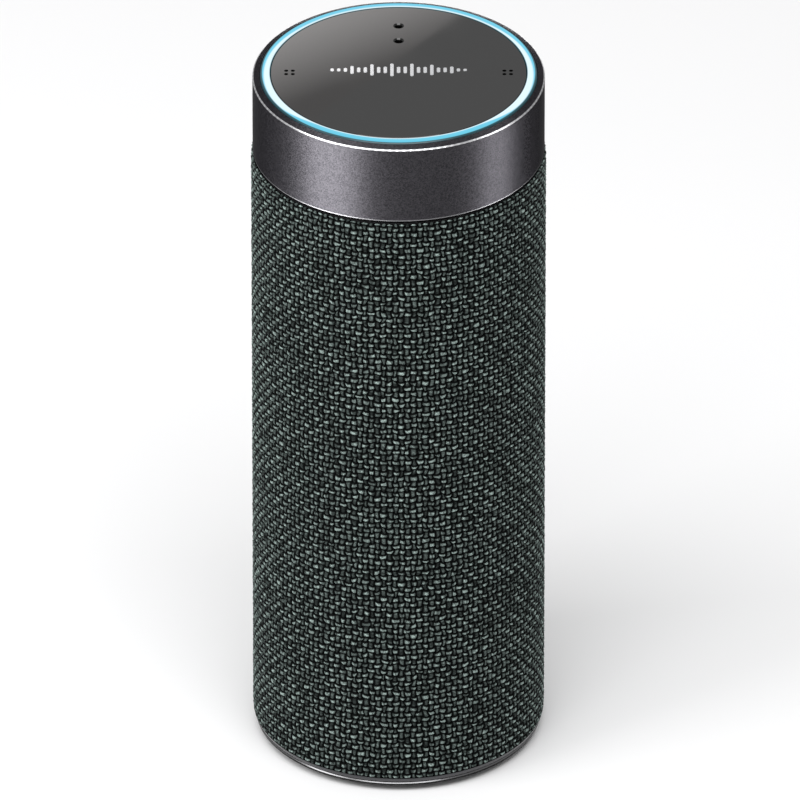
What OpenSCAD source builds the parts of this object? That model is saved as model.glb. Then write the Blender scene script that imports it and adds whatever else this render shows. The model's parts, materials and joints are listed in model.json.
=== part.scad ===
// Cylindrical smart speaker with a woven sleeve, a painted collar, a light ring and a glossy top plate.
// Millimetres, +Z up, front towards -Y, origin at the centre of the foot's underside.

/* [Body] */
// Height from the table to the crest of the light ring
total_h = 228.6; // [226:0.2:231]
// Outer diameter of the woven sleeve
sleeve_d = 89; // [88.8:0.1:89.2]
// Thickness of the sleeve with its backing
sleeve_t = 1.15; // [0.9:0.05:1.15]
// Radius of the body's rounded lower edge
edge_r = 5; // [4.8:0.1:5.2]
// Height at which the lower edge starts to round inwards
edge_z = 6.3; // [6.2:0.1:6.4]

/* [Collar and top] */
// Outer diameter of the collar
collar_d = 88; // [87.9:0.1:88.2]
// Height of the collar's straight outer wall
collar_h = 25; // [24.6:0.2:25.4]
// Rise from the collar's outer edge to the crest of the light ring
bevel_h = 1.25; // [1.1:0.05:1.4]
// Outer diameter of the light ring
light_d = 83.2; // [83:0.1:83.3]
// Width of the light ring seen from above
light_w = 2.9; // [2.8:0.1:3]
// Thickness of the top plate
plate_t = 1.45; // [1.2:0.05:1.6]

/* [Keys] */
// Width of a rear key along the collar
key_w = 9.6; // [8:0.2:9.8]
// Height of a rear key
key_h = 4.8; // [4:0.2:5.2]
// Distance along the collar between neighbouring rear keys
key_pitch = 12.6; // [12.4:0.1:12.8]
// Diameter of the power button
power_d = 8.8; // [8:0.2:9]

/* [Sound] */
// Half the width of a driver's front flange
driver_half = 24.2; // [23.8:0.1:24.2]
// Distance between the centres of the two drivers
driver_pitch = 58; // [56:0.5:60]
// Height of the passive radiator's frame
radiator_h = 88; // [80:1:92]
// Width of the passive radiator's frame
radiator_w = 44; // [42:1:46]

/* [Hidden] */
DRIVER_NODES = ["basket", "magnet", "yoke", "voice_coil", "cone", "dust_cap", "surround", "spider"];
$fn = 64;

// Air left between pieces that only stand beside each other
gap = 0.2;
// A cut reaches this far past the solid that it cuts
over = 1;
// Angle of the rear of the body
rear = 90;

// Main radii
sleeve_r = sleeve_d / 2;
tube_r = sleeve_r - sleeve_t - 0.02;
tube_inner_r = tube_r - 1.48;
bay_r = tube_inner_r - 0.75;
collar_r = collar_d / 2;
collar_inner_r = collar_r - 2.2;
light_r = light_d / 2;
light_inner_r = light_r - light_w;
plate_r = light_inner_r - 0.12;
edge_centre_r = sleeve_r - edge_r;

// Main heights
collar_top = total_h - bevel_h;
collar_bottom = collar_top - collar_h;
sleeve_top = collar_bottom - 0.75;
board_z = total_h - 9.8;
board_t = 1.6;
plate_top = total_h - 0.15;
key_z = collar_bottom + collar_h / 2 - 1.2;

// The rounded lower edge is shared, from the top down, by the sleeve and the trim ring.
// Each angle is measured below the horizontal around the edge's centre.
sleeve_end = 13;
trim_start = 14.5;
trim_end = 40;
trim_t = 1.25;
lip_r = 43.6;
lip_top = 2.8;
lip_bottom = 1.8;

// Bosses that carry the board under the top plate
boss_angles = [200, 250, 290, 340];
boss_r = 33;

// Base and electronics
foot_r = 40.2;
foot_h = 2.7;
cup_floor_z = 5.2;
post_positions = [for (angle = [60, 120, 240, 300]) 33 * [cos(angle), sin(angle)]];
cell_r = 9.2;
cell_l = 65;
cell_z = 17;
cell_centres = [-12, 7.5];
main_z = 30.6;
deck_z = 46.3;
deck_t = 2.3;

// Rear connection panel
panel_w = 24;
panel_h = 34;
panel_z = 30;
panel_r = sleeve_r - 0.3;
power_z = 37.6;
pipe_z = 30.4;
usb_z = 25.4;
aux_z = 18.4;
io_front = 35.1;

// Speaker box
box_bottom = deck_z + gap;
box_top = collar_bottom - 4.25;
box_mid = (box_bottom + box_top) / 2;
box_wall = 2.2;
baffle_y = 31;
baffle_t = 3;
driver_heights = [box_mid + driver_pitch / 2, box_mid - driver_pitch / 2];
flange_t = 2;
screw_offset = 18.5;
lead_x = 19;
lead_y = 6;

// Rear keys, from the left seen from behind
key_angle = key_pitch / collar_r * 180 / PI;
key_angles = [for (i = [0:3]) rear + (i - 1.5) * key_angle];
key_face_r = collar_r + 0.35;
switch_r = 36.8;

// Two sound holes lie behind the centre, and a group of four lies at each side
rear_holes = [[0, 27.6], [0, 18.8]];
side_x = 32.8;
side_holes = [for (side = [-1, 1], dx = [-1, 1], dy = [-1, 1]) [side * side_x + dx, dy]];
mic_centres = concat(rear_holes, [[-side_x, 0], [side_x, 0]]);

// A point on the rounded lower edge or at a depth below it, and a run of them from angle a to angle b
function edge_point(angle, depth = 0) = [
    edge_centre_r + (edge_r - depth) * cos(angle),
    edge_z - (edge_r - depth) * sin(angle)
];
function edge_arc(a, b, steps = 12, depth = 0) = [
    for (i = [0:steps]) edge_point(a + (b - a) * i / steps, depth)
];
// Points on an arc round centre c, from angle a to angle b
function arc(c, r, a, b, steps = 16) = [
    for (i = [0:steps]) c + r * [cos(a + (b - a) * i / steps), sin(a + (b - a) * i / steps)]
];

module ring(r_in, r_out, z0, z1) {
    translate([0, 0, z0]) rotate_extrude($fn = 180) translate([r_in, 0]) square([r_out - r_in, z1 - z0]);
}

module sector(r_in, r_out, z0, z1, angle, width) {
    translate([0, 0, z0]) rotate([0, 0, angle - width / 2])
        rotate_extrude(angle = width, $fn = 180) translate([r_in, 0]) square([r_out - r_in, z1 - z0]);
}

module disc(r, z0, z1) {
    translate([0, 0, z0]) cylinder(r = r, h = z1 - z0, $fn = 180);
}

module rounded_rect(w, h, c) {
    square([w - 2 * c, h], center = true);
    square([w, h - 2 * c], center = true);
    for (x = [-1, 1], y = [-1, 1]) translate([x * (w / 2 - c), y * (h / 2 - c)]) circle(r = c, $fn = 40);
}

// A rounded bar that points outwards along +X, from r0 to r1
module radial_bar(r0, r1, w, h, c) {
    translate([r0, 0, 0]) rotate([90, 0, 90]) linear_extrude(r1 - r0) rounded_rect(w, h, c);
}

// A round bar that points outwards along +X, from r0 to r1
module radial_pin(r0, r1, r) {
    translate([r0, 0, 0]) rotate([0, 90, 0]) cylinder(r = r, h = r1 - r0, $fn = 48);
}

module at(angle, z) {
    translate([0, 0, z]) rotate([0, 0, angle]) children();
}

// ---- Base ----

module foot_pad() {
    color([0.07, 0.07, 0.07]) rotate_extrude($fn = 180) polygon([
        [0, 0.5], [29.5, 0.5], [30, 0], [foot_r - 0.6, 0],
        [foot_r, 0.6], [foot_r, foot_h], [0, foot_h]
    ]);
}

module base_cup() {
    color([0.1, 0.1, 0.11]) difference() {
        rotate_extrude($fn = 180) polygon(concat(
            [[0, foot_h + 0.05], [foot_r + 0.1, foot_h + 0.05], [foot_r + 0.1, foot_h + 0.35]],
            edge_arc(trim_end, 1, 12, trim_t + 0.05),
            [[tube_inner_r - 0.1, edge_point(1, trim_t + 0.05)[1]], [tube_inner_r - 0.1, 14]],
            [[tube_inner_r - 1.9, 14], [tube_inner_r - 1.9, cup_floor_z], [0, cup_floor_z]]
        ));
        for (p = post_positions) translate(p) {
            cylinder(r = 1.5, h = 3 * cup_floor_z, center = true);
            cylinder(r = 2.8, h = foot_h + 1.75);
        }
        at(rear, panel_z) radial_bar(tube_inner_r - 3, sleeve_r, panel_w + 1, panel_h + 1, 3.5);
    }
}

// The ring's lower lip stands out a little from the rounded edge, just above the foot
module trim_ring() {
    color([0.62, 0.63, 0.65]) rotate_extrude($fn = 180) polygon(concat(
        [[foot_r + 0.15, foot_h + 0.3], [foot_r + 0.15, lip_bottom], [lip_r - 0.5, lip_bottom]],
        [[lip_r, lip_bottom + 0.5], [lip_r, lip_top]],
        edge_arc(trim_end, trim_start, 8),
        edge_arc(trim_start, trim_end, 8, trim_t)
    ));
}

module screw(head_r, head_h, shaft_r, shaft_l) {
    difference() {
        cylinder(r = head_r, h = head_h, $fn = 36);
        translate([0, 0, head_h / 2]) linear_extrude(head_h) {
            square([head_r * 1.2, head_r * 0.3], center = true);
            square([head_r * 0.3, head_r * 1.2], center = true);
        }
    }
    translate([0, 0, -shaft_l]) cylinder(r = shaft_r, h = shaft_l, $fn = 36);
}

module base_screws() {
    color("silver") for (p = post_positions) translate([p[0], p[1], foot_h + 1.7])
        rotate([180, 0, 0]) screw(2.6, 1.5, 1.2, 9);
}

module battery_holder() {
    post_r = 3.4;
    width = cell_centres[1] - cell_centres[0] + 2 * cell_r + 2.8;
    color([0.16, 0.16, 0.17]) difference() {
        union() {
            disc(38, cup_floor_z + 0.05, cup_floor_z + 1.6);
            intersection() {
                translate([-cell_l / 2 - 1.9, cell_centres[0] - cell_r - 1.4, cup_floor_z + 1])
                    cube([cell_l + 3.8, width, 10]);
                disc(bay_r - 1.7, cup_floor_z, main_z);
            }
            for (p = post_positions) translate([p[0], p[1], cup_floor_z + 1])
                cylinder(r = post_r, h = main_z - cup_floor_z - 1);
        }
        for (y = cell_centres) translate([-(cell_l + 0.6) / 2, y, cell_z])
            rotate([0, 90, 0]) cylinder(r = cell_r + 0.1, h = cell_l + 0.6);
        for (p = post_positions) translate(p) {
            cylinder(r = 1.25, h = 15);
            translate([0, 0, main_z - 8]) cylinder(r = 1.05, h = 8 + over);
        }
        at(rear, panel_z) radial_bar(27.5, sleeve_r, panel_w + 1, panel_h + 60, 3);
    }
}

module battery_cells() {
    color([0.2, 0.42, 0.36]) for (y = cell_centres) translate([-cell_l / 2, y, cell_z])
        rotate([0, 90, 0]) rotate_extrude() polygon([
            [0, 0], [cell_r - 0.5, 0], [cell_r, 0.5], [cell_r, cell_l - 1.8],
            [cell_r - 0.5, cell_l - 1.3], [3, cell_l - 1.3], [3, cell_l], [0, cell_l]
        ]);
}

module main_board() {
    color([0.05, 0.3, 0.16]) difference() {
        disc(38.4, main_z, main_z + board_t);
        for (p = post_positions) translate([p[0], p[1], main_z - over])
            cylinder(r = 1.2, h = 2 * over + board_t);
        at(rear, main_z) radial_bar(27.5, sleeve_r, panel_w + 1, 3 * over + 2 * board_t, 1);
    }
}

module board_parts() {
    top = main_z + board_t;
    color([0.12, 0.12, 0.13]) {
        translate([-9, -20, top]) cube([14, 14, 1.2]);
        translate([-22, -16, top]) cube([9, 9, 1]);
        translate([4, -30, top]) cube([7, 5, 1.4]);
        translate([-36, -4, top]) cube([5, 8, 0.65]);
        translate([20, -6, top]) cube([10, 7, 4]);
    }
    color([0.15, 0.18, 0.3]) for (p = [[-22, 10], [-22, 20], [14, -16], [24, -16]])
        translate([p[0], p[1], top]) cylinder(r = 4, h = 9.4);
}

module rf_shield() {
    color("silver") translate([-9, 2, main_z + board_t]) cube([24, 18, 2.6]);
}

module board_screws() {
    color("silver") {
        for (p = post_positions) translate([p[0], p[1], main_z + board_t]) screw(2, 1.2, 1, 7.5);
        for (a = boss_angles) at(a, board_z + board_t) translate([boss_r, 0, 0]) screw(1.8, 0.6, 1, 6);
    }
}

// ---- Rear connections ----

module electronics_bay() {
    color([0.14, 0.14, 0.15]) difference() {
        union() {
            ring(bay_r - 1.5, bay_r, 14.1, deck_z);
            disc(bay_r, deck_z - deck_t, deck_z);
        }
        at(rear, 14) radial_bar(30, sleeve_r, panel_w + 2, 2 * (deck_z - deck_t - 14 - 0.3), 1);
        translate([lead_x, lead_y, deck_z - 5]) cylinder(r = 1.7, h = 10);
        at(180, main_z + 2.5) radial_bar(bay_r - 3, bay_r + over, 10, 2.4, 0.3);
    }
}

module io_panel() {
    color([0.12, 0.12, 0.12]) difference() {
        intersection() {
            at(rear, panel_z) radial_bar(36, sleeve_r + 2, panel_w, panel_h, 3);
            ring(tube_inner_r - 0.5, panel_r, 0, 60);
        }
        at(rear, power_z) radial_pin(36, sleeve_r + over, power_d / 2 + 0.2);
        at(rear, pipe_z) radial_pin(36, sleeve_r + over, 1.15);
        at(rear, usb_z) radial_bar(36, sleeve_r + over, 8.2, 3.4, 1);
        at(rear, aux_z) radial_pin(36, sleeve_r + over, 3);
    }
}

module io_board() {
    color([0.05, 0.3, 0.16]) difference() {
        translate([-12, io_front - board_t, cup_floor_z + 6.2]) cube([24, board_t, 32]);
        translate([-4.1, io_front - 5, aux_z - 3.9]) cube([8.2, 10, 7.8]);
    }
}

module usb_socket() {
    length = panel_r - 0.6 - io_front;
    color("silver") at(rear, usb_z) {
        difference() {
            radial_bar(io_front, io_front + length, 7.6, 2.9, 0.9);
            radial_bar(io_front + 2, io_front + length + over, 6.9, 2.2, 0.7);
        }
        radial_bar(io_front + 1.5, io_front + length - 0.8, 3.8, 0.6, 0.2);
    }
}

module aux_jack() {
    mouth = panel_r - 0.25;
    color([0.05, 0.05, 0.05]) at(rear, aux_z) difference() {
        union() {
            radial_pin(io_front, mouth, 2.85);
            translate([mouth - 16, -3.8, -3.5]) cube([9.5, 7.6, 7]);
        }
        radial_pin(mouth - 14, mouth + over, 1.8);
    }
}

module power_button() {
    color([0.2, 0.2, 0.2]) {
        at(rear, power_z) radial_pin(39.6, panel_r - 0.1, power_d / 2);
        at(rear, power_z) radial_pin(39.3, 40.3, power_d / 2 + 0.8);
        at(rear, power_z) radial_pin(37.6, 39.6, 1.2);
    }
}

module charge_light_pipe() {
    color([0.85, 0.85, 0.85]) at(rear, pipe_z) radial_pin(io_front + 0.4, panel_r - 0.05, 1.05);
}

// ---- Sleeve and grille ----

module fabric_sleeve() {
    color([0.3, 0.33, 0.33]) difference() {
        rotate_extrude($fn = 180) polygon(concat(
            edge_arc(0, sleeve_end, 8, sleeve_t),
            edge_arc(sleeve_end, 0, 8),
            arc([sleeve_r - 0.5, sleeve_top - 0.5], 0.5, 0, 90, 6),
            [[tube_r + 0.02, sleeve_top]]
        ));
        at(rear, panel_z) radial_bar(36, sleeve_r + 2, panel_w + 0.5, panel_h + 0.5, 3.25);
    }
}

module grille_tube() {
    columns = [-4:4];
    rows = [0:4];
    slot_h = 25;
    color([0.1, 0.1, 0.1]) difference() {
        ring(tube_inner_r, tube_r, edge_z + 0.02, sleeve_top);
        for (side = [0, 180], column = columns, row = rows)
            at(rear + side + 12 * column, box_mid + 29 * (row - 2))
                radial_bar(tube_inner_r - over, tube_r + over, 4.6, slot_h, 2);
        at(rear, panel_z) radial_bar(36, sleeve_r + 2, panel_w + 0.5, panel_h + 0.5, 3.25);
    }
}

// ---- Speaker box ----

// The closed box before it is split: a round wall with two flat faces and two end discs
module box_shell() {
    difference() {
        intersection() {
            disc(bay_r, box_bottom, box_top);
            translate([-50, -baffle_y, 0]) cube([100, 2 * baffle_y, total_h]);
        }
        intersection() {
            disc(bay_r - box_wall, box_bottom + 2.5, box_top - 2.5);
            translate([-50, baffle_t - baffle_y, 0]) cube([100, 2 * (baffle_y - baffle_t), total_h]);
        }
        translate([lead_x, lead_y, box_bottom - 5]) cylinder(r = 1.4, h = 10);
    }
}

module front_space(y) {
    translate([-60, y - 120, 0]) cube([120, 120, total_h]);
}

module rear_space(y) {
    translate([-60, y, 0]) cube([120, 120, total_h]);
}

module box_front() {
    color([0.13, 0.13, 0.14]) difference() {
        intersection() {
            box_shell();
            front_space(-0.3);
        }
        for (z = driver_heights) translate([0, 0, z]) rotate([90, 0, 0]) {
            cylinder(r = 22.8, h = 50, $fn = 96);
            for (x = [-1, 1], y = [-1, 1]) translate([x * screw_offset, y * screw_offset, 0])
                cylinder(r = 1.05, h = 50, $fn = 36);
        }
    }
}

module radiator_outline(inset) {
    rounded_rect(radiator_w - 2 * inset, radiator_h - 2 * inset, radiator_w / 2 - inset - 0.01);
}

module facing_rear(y) {
    translate([0, y, box_mid]) rotate([90, 0, 180]) children();
}

module box_rear() {
    color([0.13, 0.13, 0.14]) difference() {
        intersection() {
            box_shell();
            rear_space(0.3);
        }
        facing_rear(baffle_y - 10) linear_extrude(20) radiator_outline(3.2);
    }
}

module box_gasket() {
    color([0.3, 0.3, 0.3]) intersection() {
        box_shell();
        front_space(0.3);
        rear_space(-0.3);
    }
}

// ---- Drivers, drawn with the cone facing +Z and the flange's back face at z = 0 ----

module driver_at(i) {
    translate([0, -baffle_y, driver_heights[i]]) rotate([90, 0, 0]) children();
}

module basket() {
    color([0.17, 0.17, 0.18]) difference() {
        union() {
            rotate_extrude($fn = 96) polygon([
                [19.9, flange_t], [driver_half - 1, flange_t], [driver_half - 1, 0], [22.4, 0], [17.2, -13.4],
                [17.2, -15], [11.2, -15], [11.2, -13.8], [15, -13.8], [15, -11], [17, -11], [20.8, 0.4],
                [19.9, 0.8]
            ]);
            difference() {
                intersection() {
                    linear_extrude(flange_t) square(2 * driver_half, center = true);
                    cylinder(r = 29, h = flange_t, $fn = 96);
                }
                translate([0, 0, -over]) cylinder(r = 22, h = 3 * over + flange_t, $fn = 96);
            }
        }
        for (x = [-1, 1], y = [-1, 1]) translate([x * screw_offset, y * screw_offset, -over])
            cylinder(r = 1.3, h = 3 * over + flange_t, $fn = 36);
        for (a = [45:90:315]) rotate([0, 0, a]) translate([14, -5, -10]) cube([12, 10, 8]);
    }
}

module magnet() {
    color([0.09, 0.09, 0.1]) ring(11.6, 16.4, -27, -18.05);
}

// The front plate on one side of the magnet, and the back plate with its pole on the other
module yoke() {
    color([0.6, 0.6, 0.62]) {
        ring(10.55, 16, -18, -15.05);
        rotate_extrude($fn = 96) polygon([
            [0, -30], [16, -30], [16, -27.05], [9.1, -27.05], [9.1, -15.2], [0, -15.2]
        ]);
    }
}

module voice_coil() {
    color([0.7, 0.4, 0.2]) ring(9.6, 10, -23, -6.2);
}

module cone() {
    color([0.12, 0.12, 0.13]) rotate_extrude($fn = 96) polygon([
        [10.02, -7.4], [10.02, -6.2], [17.4, 1], [17.4, 0.4], [10.6, -6.6]
    ]);
}

module dust_cap() {
    rise = 3;
    base_r = 9.4;
    r = (base_r * base_r + rise * rise) / (2 * rise);
    centre = [0, -5.6 + rise - r];
    half = asin(base_r / r);
    color([0.1, 0.1, 0.11]) rotate_extrude($fn = 96) polygon(concat(
        arc(centre, r, 90 - half, 90, 10), arc(centre, r - 0.4, 90, 90 - half, 10)
    ));
}

module surround() {
    roll = [18.75, 1.5];
    color([0.08, 0.08, 0.08]) rotate_extrude($fn = 96) polygon(concat(
        [[15.6, 1.15], [roll[0] - 1.55, 1.15]],
        arc(roll + [0, 0.1], 1.1, 180, 0, 12),
        [[roll[0] + 1.1, flange_t + 0.02], [22.2, flange_t + 0.02]],
        [[22.2, flange_t + 0.5], [20.4, flange_t + 0.5]],
        arc(roll + [0, 0.1], 1.55, 32, 180, 12),
        [[15.6, 1.55]]
    ));
}

module spider() {
    waves = 4;
    r0 = 10.2;
    pitch = 1.45;
    steps = 32;
    function wave(i) = [r0 + waves * pitch * i / steps, -10.4 + 0.45 * sin(360 * waves * i / steps)];
    color([0.75, 0.6, 0.35]) rotate_extrude($fn = 96) polygon(concat(
        [for (i = [0:steps]) wave(i)],
        [[16.9, -10.4], [16.9, -10.1]],
        [for (i = [steps:-1:0]) wave(i) + [0, 0.3]]
    ));
}

module driver_screws() {
    color("silver") for (z = driver_heights) translate([0, -baffle_y, z]) rotate([90, 0, 0])
        for (x = [-1, 1], y = [-1, 1]) translate([x * screw_offset, y * screw_offset, flange_t + 0.02])
            screw(2.3, 1.3, 1, flange_t + baffle_t + 1.5);
}

// ---- Passive radiator ----

module radiator_frame() {
    color([0.15, 0.15, 0.16]) facing_rear(baffle_y + 0.02) linear_extrude(2) difference() {
        radiator_outline(0);
        radiator_outline(5);
    }
}

// One half-round fold that runs round the racetrack outline at distance inset from the frame's edge
module radiator_surround() {
    track = radiator_w / 2 - 7.3;
    straight = radiator_h - radiator_w;
    module profile() {
        polygon(concat(
            [[-3.2, 0], [-2, 0]], arc([0, 0], 2, 180, 0, 14), [[2, 0], [5.6, 0], [5.6, 0.5], [2.45, 0.5]],
            arc([0, 0], 2.5, 11.5, 168.5, 14), [[-3.2, 0.5]]
        ));
    }
    color([0.08, 0.08, 0.08]) facing_rear(baffle_y + 2.05) {
        for (end = [-1, 1]) translate([0, end * straight / 2, 0]) rotate([0, 0, end < 0 ? 180 : 0])
            rotate_extrude(angle = 180, $fn = 96) translate([track, 0]) profile();
        for (side = [0, 180]) rotate([0, 0, side]) translate([0, straight / 2, 0]) rotate([90, 0, 0])
            linear_extrude(straight) translate([track, 0]) profile();
    }
}

module radiator_plate() {
    color([0.2, 0.2, 0.21]) facing_rear(baffle_y - 0.3) linear_extrude(2) radiator_outline(9.7);
}

// ---- Wiring ----

module speaker_leads() {
    color([0.5, 0.1, 0.1]) {
        translate([lead_x, lead_y, main_z + 6]) cylinder(r = 0.9, h = driver_heights[0] - main_z - 6);
        for (z = driver_heights) translate([lead_x, lead_y, z]) {
            sphere(r = 0.9);
            rotate([90, 0, 0]) cylinder(r = 0.9, h = lead_y + baffle_y - 11.6);
        }
    }
}

module top_ribbon() {
    tail = main_z + board_t + 0.7;
    color([0.75, 0.72, 0.62]) {
        sector(bay_r + gap, bay_r + 0.5, tail, board_z - 0.05, 180, 11);
        sector(33, bay_r + 0.5, tail, tail + 0.3, 180, 11);
        sector(35, bay_r + 0.5, board_z - 0.35, board_z - 0.05, 180, 11);
    }
}

// ---- Top ----

module top_frame() {
    floor_z = box_top + 0.05;
    color([0.14, 0.14, 0.15]) difference() {
        union() {
            disc(bay_r, floor_z, floor_z + 2);
            ring(bay_r - 1.5, bay_r, floor_z, board_z);
            ring(bay_r - 1.5, collar_inner_r - 0.05, collar_bottom + 0.1, collar_bottom + 3.5);
            sector(switch_r - 2.3, switch_r - 0.4, floor_z, board_z, rear, 74);
            for (a = boss_angles) at(a, floor_z) translate([boss_r, 0, 0])
                cylinder(r = 3, h = board_z - floor_z);
        }
        sector(37.5, collar_r, key_z - 4.5, board_z + over, rear, 72);
        sector(bay_r - 0.3, collar_r, 0, total_h, 180, 13);
        sector(34, collar_r, board_z - 3, total_h, 180, 13);
        for (a = boss_angles) at(a, board_z - 7) translate([boss_r, 0, 0]) cylinder(r = 1.05, h = 8);
    }
}

module key_circuit() {
    color([0.7, 0.5, 0.2]) sector(switch_r - 0.35, switch_r - 0.02, key_z - 4, board_z - 0.05, rear, 70);
}

module tact_switches() {
    color([0.25, 0.25, 0.26]) {
        for (a = key_angles) at(a, key_z) difference() {
            intersection() {
                radial_bar(30, switch_r + 1.8, 4.8, 4.8, 0.4);
                ring(switch_r, switch_r + 9, -5, 5);
            }
            radial_pin(switch_r + 0.5, switch_r + 3, 1.5);
        }
        at(rear, power_z) difference() {
            radial_bar(io_front + 0.02, io_front + 3.4, 5, 5, 0.4);
            radial_pin(io_front + 1, io_front + 5, 1.5);
        }
    }
}

module key(i) {
    color([0.26, 0.26, 0.28]) at(key_angles[i], key_z) {
        intersection() {
            radial_bar(30, collar_r + 2, key_w, key_h, 1.6);
            ring(40.4, key_face_r, -key_h, key_h);
        }
        intersection() {
            radial_bar(30, collar_r + 2, key_w + 1.5, key_h + 2.4, 2);
            ring(40.4, collar_inner_r - 0.35, -key_h, key_h);
        }
        radial_pin(switch_r + 1.5, 40.6, 1.1);
    }
}

module light_board() {
    color([0.05, 0.28, 0.15]) difference() {
        disc(collar_inner_r - 0.6, board_z, board_z + board_t);
        for (a = boss_angles) at(a, board_z - over) translate([boss_r, 0, 0]) cylinder(r = 1.2, h = 4);
    }
}

module light_chips() {
    count = 24;
    color([0.95, 0.95, 0.85]) for (i = [0:count - 1]) at(360 / count * i, board_z + board_t)
        translate([light_r - light_w / 2 - 1.1, -1.1, 0]) cube([2.2, 2.2, 0.8]);
}

module microphones() {
    color([0.75, 0.7, 0.5]) for (p = mic_centres) translate([p[0] - 1.9, p[1] - 1.5, board_z + board_t])
        cube([3.8, 3, 1.1]);
}

module microphone_gaskets() {
    bottom = board_z + board_t + 1.1;
    color([0.1, 0.1, 0.1]) for (p = mic_centres) translate([p[0], p[1], bottom]) difference() {
        cylinder(r = 3, h = plate_top - plate_t - 1.85 - bottom);
        translate([0, 0, -over]) cylinder(r = 1.9, h = 20);
    }
}

module plate_carrier() {
    top = plate_top - plate_t - 0.03;
    color([0.1, 0.1, 0.1]) difference() {
        union() {
            disc(plate_r, top - 1.8, top);
            ring(plate_r - 1.6, plate_r, board_z + board_t + 0.05, top);
        }
        for (p = mic_centres) translate([p[0], p[1], 0]) cylinder(r = 2.1, h = total_h);
    }
}

module top_plate() {
    color([0.2, 0.19, 0.19]) difference() {
        rotate_extrude($fn = 180) polygon([
            [0, plate_top - plate_t], [plate_r, plate_top - plate_t], [plate_r, plate_top - 0.2],
            [plate_r - 0.2, plate_top], [0, plate_top]
        ]);
        for (p = rear_holes) translate([p[0], p[1], plate_top]) {
            cylinder(r = 1.2, h = 10, center = true);
            translate([0, 0, -0.4]) cylinder(r1 = 1.2, r2 = 1.65, h = 0.4 + 0.01);
        }
        for (p = side_holes) translate([p[0], p[1], plate_top]) cylinder(r = 0.62, h = 10, center = true);
    }
}

module light_ring() {
    bottom = board_z + board_t + 1.1;
    color([0.75, 0.93, 0.97]) rotate_extrude($fn = 180) polygon([
        [light_inner_r, bottom], [light_r, bottom],
        [light_r, total_h - 0.5], [light_r - 0.25, total_h - 0.25],
        [light_r - 1.2, total_h - 0.06], [light_inner_r + 0.7, total_h],
        [light_inner_r, total_h - 0.15]
    ]);
}

module collar() {
    chamfer = 0.35;
    color([0.25, 0.24, 0.26]) difference() {
        rotate_extrude($fn = 180) polygon([
            [collar_inner_r, collar_bottom], [collar_r - chamfer, collar_bottom],
            [collar_r, collar_bottom + chamfer], [collar_r, collar_top - chamfer],
            [collar_r - chamfer, collar_top], [collar_inner_r, collar_top + 0.75]
        ]);
        for (a = key_angles) at(a, key_z) radial_bar(30, collar_r + 2, key_w + 0.6, key_h + 0.6, 1.9);
    }
}

foot_pad();
base_cup();
trim_ring();
base_screws();
battery_holder();
battery_cells();
main_board();
board_parts();
rf_shield();
board_screws();
electronics_bay();
io_panel();
io_board();
usb_socket();
aux_jack();
power_button();
charge_light_pipe();
fabric_sleeve();
grille_tube();
box_front();
box_rear();
box_gasket();
driver_at(0) basket();  // upper_basket
driver_at(0) magnet();  // upper_magnet
driver_at(0) yoke();  // upper_yoke
driver_at(0) voice_coil();  // upper_voice_coil
driver_at(0) cone();  // upper_cone
driver_at(0) dust_cap();  // upper_dust_cap
driver_at(0) surround();  // upper_surround
driver_at(0) spider();  // upper_spider
driver_at(1) basket();  // lower_basket
driver_at(1) magnet();  // lower_magnet
driver_at(1) yoke();  // lower_yoke
driver_at(1) voice_coil();  // lower_voice_coil
driver_at(1) cone();  // lower_cone
driver_at(1) dust_cap();  // lower_dust_cap
driver_at(1) surround();  // lower_surround
driver_at(1) spider();  // lower_spider
driver_screws();
radiator_frame();
radiator_surround();
radiator_plate();
speaker_leads();
top_ribbon();
top_frame();
key_circuit();
tact_switches();
key(0);  // action_key
key(1);  // mute_key
key(2);  // volume_down_key
key(3);  // volume_up_key
light_board();
light_chips();
microphones();
microphone_gaskets();
plate_carrier();
top_plate();
light_ring();
collar();
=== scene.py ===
"""Looks of a cylindrical smart speaker: woven sleeve, painted collar, light ring and gloss plate.

Metres, +Z up, front towards -Y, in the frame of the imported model.
"""
import json
import math

import bmesh
import bpy
import numpy as np
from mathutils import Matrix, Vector


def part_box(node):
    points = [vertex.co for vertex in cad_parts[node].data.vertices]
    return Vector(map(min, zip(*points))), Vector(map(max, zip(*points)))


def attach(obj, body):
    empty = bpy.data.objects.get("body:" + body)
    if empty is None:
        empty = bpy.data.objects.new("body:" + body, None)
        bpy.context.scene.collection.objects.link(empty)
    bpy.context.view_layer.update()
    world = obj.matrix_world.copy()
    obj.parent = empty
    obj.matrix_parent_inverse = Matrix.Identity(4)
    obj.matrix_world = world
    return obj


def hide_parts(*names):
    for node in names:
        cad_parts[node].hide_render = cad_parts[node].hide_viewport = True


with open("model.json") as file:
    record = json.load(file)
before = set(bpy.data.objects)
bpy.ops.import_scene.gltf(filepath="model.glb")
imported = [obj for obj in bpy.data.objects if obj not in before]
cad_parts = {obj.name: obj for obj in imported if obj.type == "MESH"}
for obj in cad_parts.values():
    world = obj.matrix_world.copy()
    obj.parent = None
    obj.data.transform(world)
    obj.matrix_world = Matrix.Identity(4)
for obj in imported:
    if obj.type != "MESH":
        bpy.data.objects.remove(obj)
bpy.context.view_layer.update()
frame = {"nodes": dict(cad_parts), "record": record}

MM = 0.001

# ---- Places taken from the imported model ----

_, sleeve_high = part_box("fabric_sleeve")
collar_low, collar_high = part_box("collar")
_, plate_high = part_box("top_plate")
panel_low, panel_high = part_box("io_panel")
_, ring_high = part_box("light_ring")
SLEEVE_R = sleeve_high.x
COLLAR_R = collar_high.x
RING_R = ring_high.x

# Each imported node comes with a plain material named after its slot
SLOT_OF_NODE = {name: piece.material_slots[0].material.name for name, piece in frame["nodes"].items()}
for plain in list(bpy.data.materials):
    bpy.data.materials.remove(plain)


# ---- Camera, floor and light ----

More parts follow.
